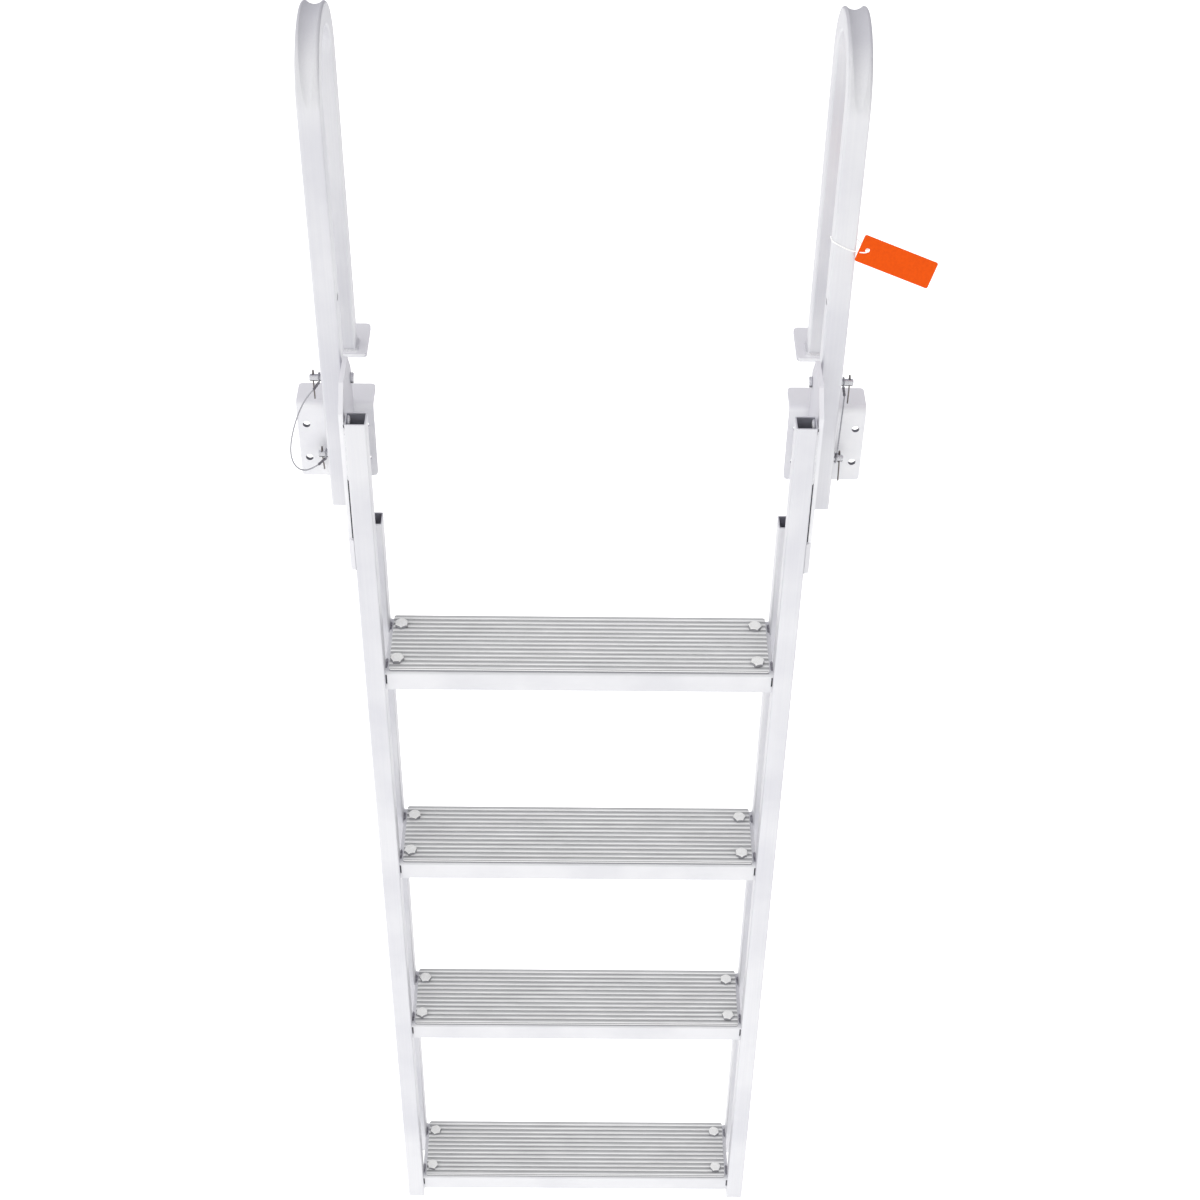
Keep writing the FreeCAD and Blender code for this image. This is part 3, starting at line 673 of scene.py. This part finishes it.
def makeEyes(s, sideName, mirror):
    route = lanyardSettings[sideName + "Route"]
    rings, sleeves = [], []
    for height, mouth in ((s["heights"][0], route[0]), (s["heights"][1], route[-1])):
        hub = np.array([s["place"][0], s["place"][1], height])
        angle = np.arange(72) * 2 * math.pi / 72
        # circle round the pin, in the plane square to it
        circle = hub + s["eyeRadius"] * np.stack([0 * angle, np.cos(angle), np.sin(angle)], 1)
        rings.append(strands(circle * (mirror, 1, 1), s["wireRadius"], 6, 2 * math.pi * s["eyeRadius"] / 4,
                             (1, 0, 0), 7, closed=True))
        mouth = np.array(mouth)
        out = np.array([0, mouth[1] - hub[1], mouth[2] - hub[2]])
        seat = hub + out / np.linalg.norm(out) * (s["eyeRadius"] - 0.2)
        along = np.linspace(0, 1, 25)
        line = seat + along[:, None] * (mouth - seat)
        # two crimps: the sleeve narrows by a seventh at a third and two thirds of its length
        waist = 1 - 0.14 * (np.exp(-((along - 0.33) / 0.08) ** 2) + np.exp(-((along - 0.67) / 0.08) ** 2))
        ends = np.clip(np.minimum(along, 1 - along) / 0.06, 0, 1) ** 0.5 * 0.25 + 0.75
        radius = s["sleeveRadius"] * waist * ends
        sleeves.append(tube(line * (mirror, 1, 1), radius[:, None] * np.ones(16), 16, (1, 0, 0)))
    piece = addPiece("lanyard_rings_" + sideName, joined(rings), "galvanised_strand", "dock_frame")
    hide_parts("lanyard_eyes_" + sideName)
    addPiece("lanyard_sleeves_" + sideName, joined(sleeves), "crimped_copper_tinned", "dock_frame")


makeEyes(eyeSettings, "left", -1)
makeEyes(eyeSettings, "right", 1)
print("clips and eyes made")


# Hex bolts through mat and tread: chamfered head above, washer, nut and thread end below
boltSettings = {
    "across": 13.0,
    "headHeight": 4.0,
    "shank": 4.0,
    "places": [(-195.4, -76.5), (-194.4, -21.0), (191.2, -77.5), (191.4, -20.7)],
    "turns": [12.0, 41.0, 27.0, 3.0],
    "treadTops": [-281.0, -586.0, -891.0, -1225.0],
    "sheetBottom": 6.5,
    "washerRadius": 8.0,
}


def hexSolid(centre, across, levels, turn):
    # each level is a height, a limit to the radius and a share: the radius is the hexagon's own,
    # half its width over the cosine of the angle to the nearest flat, no larger than the limit
    angle = np.arange(48) * 2 * math.pi / 48
    flat = (angle + math.pi / 6) % (math.pi / 3) - math.pi / 6
    hexagon = across / 2 / np.cos(flat)
    rings = []
    for height, limit in levels:
        radius = np.minimum(hexagon, limit)
        a = angle + math.radians(turn)
        rings.append(np.stack([centre[0] + radius * np.cos(a), centre[1] + radius * np.sin(a),
                               np.full(48, centre[2] + height)], 1))
    points = np.concatenate(rings)
    faces = gridFaces(len(levels), 48)
    faces.append(tuple(range(47, -1, -1)))
    faces.append(tuple(range((len(levels) - 1) * 48, len(levels) * 48)))
    return points, faces


def makeBolts(s, number, top):
    parts = []
    for (x, y), turn in zip(s["places"], s["turns"]):
        a, h = s["across"], s["headHeight"]
        parts.append(hexSolid((x, y, top), a, [(-0.6, 99), (h - 1.2, 99), (h - 0.75, a * 0.555), (h - 0.3, a * 0.52),
                                               (h - 0.05, a * 0.47), (h, a * 0.44), (h, a * 0.30), (h - 0.12, a * 0.26)],
                              turn + number * 17))
        low = top - s["sheetBottom"]
        wr = s["washerRadius"]
        parts.append(hexSolid((x, y, low), 99, [(-1.6, wr - 0.3), (-1.3, wr), (-0.3, wr), (0.05, wr - 0.3)], 0))
        parts.append(hexSolid((x, y, low - 1.6), a, [(-6.2, a * 0.48), (-5.6, a * 0.555), (-5.2, 99), (0.02, 99)],
                              turn * 2 + number * 31))
        parts.append(hexSolid((x, y, low - 7.6), 99, [(-2.4, 3.2), (-1.8, 3.9), (0.1, 3.9)], 0))
    return addPiece("tread_bolts_" + str(number), joined(parts), "zinc_plated_bolt", "ladder", False)


for i, treadTop in enumerate(boltSettings["treadTops"]):
    makeBolts(boltSettings, i + 1, treadTop)
print("bolts set")


# Weld beads: overlapping ripples laid along a line
weldSettings = {
    "ripple": 2.4,
    "depth": 0.16,
}


def weldBead(start, end, radius, facing, s=weldSettings):
    start, end, facing = (np.array(v, float) for v in (start, end, facing))
    length = np.linalg.norm(end - start)
    count = max(12, int(length / 0.35))
    along = np.linspace(0, 1, count)
    line = start + along[:, None] * (end - start)
    # the radius swells with each ripple, later on the crown than at the toes, and falls off at both ends
    def ripples(size, angle):
        phase = math.pi * along[:, None] * length / s["ripple"] + 0.9 * np.sin(angle)[None, :]
        taper = np.clip(np.minimum(along, 1 - along) * length / (1.6 * radius), 0, 1) ** 0.5 * 0.75 + 0.25
        drift = 1 + 0.07 * np.sin(along * length / 6.1)[:, None]
        return size * taper[:, None] * drift * (1 - s["depth"] * (1 - np.abs(np.sin(phase))))
    return tube(line, radius, 14, facing, shape=ripples)


def bothSides(parts):
    # the mirror image of each part, with its faces turned round so that they still point outwards
    mirrored = [(points * (-1, 1, 1), [tuple(reversed(face)) for face in faces]) for points, faces in parts]
    return parts + mirrored


def makePlateWelds():
    # hinge plate to front rail, down the plate's front edge and at its foot
    parts = [weldBead((229.0, -93.4, 38.0), (229.0, -93.4, -25.0), 1.1, (0, 1, 0)),
             weldBead((225.9, -78.8, 44.0), (225.9, -87.0, 38.0), 2.2, (1, 0, 0)),
             weldBead((229.0, -93.2, -100.0), (229.0, -93.2, -138.0), 2.1, (0, 1, 0)),
             weldBead((229.2, -85.0, -148.2), (229.2, -68.0, -148.2), 1.5, (0, 0, 1))]
    addPiece("hinge_plate_welds", joined(bothSides(parts)), "tig_weld_metal", "ladder")


def makeFootWelds():
    # round the rear leg's foot
    x0, x1, y0, y1, z = 235.2, 258.0, 87.1, 109.9, 5.6
    parts = [weldBead((x0, y0, z), (x1, y0, z), 2.0, (0, 0, 1)), weldBead((x1, y0, z), (x1, y1, z), 2.0, (0, 0, 1)),
             weldBead((x1, y1, z), (x0, y1, z), 2.0, (0, 0, 1)), weldBead((x0, y1, z), (x0, y0, z), 2.0, (0, 0, 1))]
    addPiece("foot_plate_welds", joined(bothSides(parts)), "tig_weld_metal", "dock_frame")


def makeBracketWelds():
    # front leg to bracket, down both sides of the leg
    parts = [weldBead((258.0, -4.9, -8.0), (258.0, -4.9, -82.0), 1.5, (0, 1, 0)),
             weldBead((235.2, -4.9, -8.0), (235.2, -4.9, -82.0), 1.5, (0, 1, 0))]
    addPiece("bracket_welds", joined(bothSides(parts)), "tig_weld_metal", "dock_frame")


def makeTreadWelds(number, top):
    # tread to rails: down both lips' ends and along the sheet's ends
    sheet = top - 3.5
    parts = []
    for y in (-92.0, -4.0):
        inward = 1 if y < -50 else -1
        parts.append(weldBead((207.2, y + 1.5 * inward, sheet - 1.0), (207.2, y + 1.5 * inward, sheet - 4.2), 1.6, (0, 1, 0)))
        parts.append(weldBead((207.2, y + 1.5 * inward, sheet - 19.5), (207.2, y + 1.5 * inward, sheet - 25.8), 1.7, (0, 1, 0)))
    parts.append(weldBead((207.0, -76.0, sheet - 3.4), (207.0, -24.0, sheet - 3.4), 1.8, (0, 0, 1)))
    addPiece("tread_welds_" + str(number), joined(bothSides(parts)), "tig_weld_metal", "ladder")


def slab(x0, x1, y0, y1, z0, z1):
    x, y, z = np.meshgrid([x0, x1], [y0, y1], [z0, z1], indexing="ij")
    points = np.stack([x, y, z], -1).reshape(-1, 3)
    return points, [(0, 1, 3, 2), (4, 6, 7, 5), (0, 4, 5, 1), (2, 3, 7, 6), (0, 2, 6, 4), (1, 5, 7, 3)]


def makeJointMarks():
    # painted shade: dark slabs down in the open joints, and short beads at the ends of each tread coloured dark as
    # painted shade
    gapShade = [slab(228.6, 230.2, -93.1, -90.0, -99.0, -19.0), slab(228.6, 230.0, -93.1, -90.0, 39.2, 42.6)]
    beads = []
    for top in boltSettings["treadTops"]:
        sheet = top - 3.5
        gapShade.append(slab(205.98, 207.42, -91.5, -90.0, sheet - 17.6, sheet - 4.8))
        beads.append(weldBead((206.7, -25.0, sheet - 0.2), (206.7, -12.0, sheet - 0.2), 1.5, (0, 0, 1)))
        beads.append(weldBead((206.7, -86.0, sheet - 0.2), (206.7, -71.0, sheet - 0.2), 1.5, (0, 0, 1)))
    addPiece("joint_shade_slabs", joined(bothSides(gapShade)), "painted_joint_shade", "ladder", False)
    # the beads' dark colour is painted shade
    addPiece("tread_end_beads", joined(bothSides(beads)), "painted_shade_weld", "ladder")


makeJointMarks()
makePlateWelds()
makeFootWelds()
makeBracketWelds()
for i, treadTop in enumerate(boltSettings["treadTops"]):
    makeTreadWelds(i + 1, treadTop)
print("welds laid")


# Stage: pale floor well below the ladder's feet, and soft even light
stageSettings = {
    "floorHeight": -2.3,
    "floorSize": 14.0,
    "floor": "#FFFFFF",
    "floorGlow": 0.36,
    "mirroredGlow": 0.17,
    "shineFrom": (0.3, 1.6, 1.0),
    "shine": (0.8, 0.42),
    "shineAcross": (1.1, 0.88),
    "mattFrom": (-0.48, -0.2, 0.9),
    "matt": (0.12, 1.27),
    "coolShine": "#F1EFFB",
    "keyPower": 8.0,
    "fillPower": 3.0,
}


def makeWorld(s):
    world = bpy.data.worlds.new("studio")
    bpy.context.scene.world = world
    world.use_nodes = True
    tree = world.node_tree
    tree.nodes.clear()
    path = addNode(tree, "ShaderNodeLightPath")
    direction = addNode(tree, "ShaderNodeTexCoord").outputs["Generated"]
    gloss = addNode(tree, "ShaderNodeMath", {"operation": "MAXIMUM"},
                    {0: path.outputs["Is Glossy Ray"], 1: path.outputs["Is Transmission Ray"]}).outputs[0]
    # strength along a direction: its dot product with the given one, mapped between two levels
    def slope(weights, low, high, levels):
        dot = addNode(tree, "ShaderNodeVectorMath", {"operation": "DOT_PRODUCT", 1: weights}, {0: direction})
        return addNode(tree, "ShaderNodeMapRange",
                       {"From Min": low, "From Max": high, "To Min": levels[0], "To Max": levels[1]},
                       {"Value": dot.outputs["Value"]}).outputs["Result"]
    # metal meets a white room that greys towards the upper back; matt faces are lit from above and the front left
    shine = product(tree, slope(s["shineFrom"], -0.2, 1.3, s["shine"]),
                    slope((1.0, 0.0, 0.0), -0.5, 0.5, s["shineAcross"]))
    matt = slope(s["mattFrom"], -0.7, 0.9, s["matt"])
    cool = product(tree, gloss, slope(s["shineFrom"], 0.0, 1.2, (0.0, 1.0)))
    dim = addNode(tree, "ShaderNodeMix", {"data_type": "FLOAT"}, {0: gloss, 2: matt, 3: shine})
    seen = addNode(tree, "ShaderNodeMix", {"data_type": "FLOAT", 3: 1.0},
                   {0: path.outputs["Is Camera Ray"], 2: dim.outputs[0]})
    tint = blended(tree, cool, "#FFFFFF", s["coolShine"])
    light = addNode(tree, "ShaderNodeBackground", {}, {"Color": tint, "Strength": seen.outputs[0]})
    addNode(tree, "ShaderNodeOutputWorld", links={"Surface": light.outputs[0]})


def makeFloor(s):
    # one flat square, white where nothing shades it
    half = s["floorSize"] / 2
    mesh = bpy.data.meshes.new("floor")
    z = s["floorHeight"]
    mesh.from_pydata([(-half, -half, z), (half, -half, z), (half, half, z), (-half, half, z)], [], [(0, 1, 2, 3)])
    material = bpy.data.materials.new("white_floor")
    material.use_nodes = True
    tree = material.node_tree
    tree.nodes.clear()
    path = addNode(tree, "ShaderNodeLightPath")
    matt = addNode(tree, "ShaderNodeBsdfDiffuse", {"Color": linearColour(s["floor"])})
    both = addNode(tree, "ShaderNodeMath", {"operation": "MAXIMUM"},
                   {0: path.outputs["Is Glossy Ray"], 1: path.outputs["Is Transmission Ray"]})
    mirrored = addNode(tree, "ShaderNodeMath", {"operation": "MULTIPLY", 1: s["mirroredGlow"]}, {0: both.outputs[0]})
    share = addNode(tree, "ShaderNodeMix", {"data_type": "FLOAT", 3: s["floorGlow"]},
                    {0: path.outputs["Is Camera Ray"], 2: mirrored.outputs[0]})
    glow = addNode(tree, "ShaderNodeEmission", {"Color": (1, 1, 1, 1)}, {"Strength": share.outputs[0]})
    mixed = addNode(tree, "ShaderNodeAddShader", links={0: matt.outputs[0], 1: glow.outputs[0]})
    addNode(tree, "ShaderNodeOutputMaterial", links={"Surface": mixed.outputs[0]})
    mesh.materials.append(material)
    floor = bpy.data.objects.new("floor", mesh)
    bpy.context.scene.collection.objects.link(floor)


def makeLamp(name, place, target, size, power):
    data = bpy.data.lights.new(name, "AREA")
    data.shape = "DISK"
    data.size = size
    data.energy = power
    lamp = bpy.data.objects.new(name, data)
    away = np.array(place, float) - np.array(target, float)
    away /= np.linalg.norm(away)
    across = np.cross((0, 0, 1), away)
    across /= np.linalg.norm(across)
    up = np.cross(away, across)
    lamp.matrix_world = Matrix([[across[i], up[i], away[i], place[i]] for i in range(3)] + [[0, 0, 0, 1]])
    lamp.visible_glossy = False
    bpy.context.scene.collection.objects.link(lamp)


makeWorld(stageSettings)
makeFloor(stageSettings)
makeLamp("keyLamp", (-2.0, -3.4, 1.4), (-0.25, 0, -0.4), 3.2, stageSettings["keyPower"])
makeLamp("fillLamp", (1.9, -3.0, 0.3), (-0.25, 0, -0.4), 3.0, stageSettings["fillPower"])
bpy.context.scene.view_settings.view_transform = "Standard"
print("stage lit")
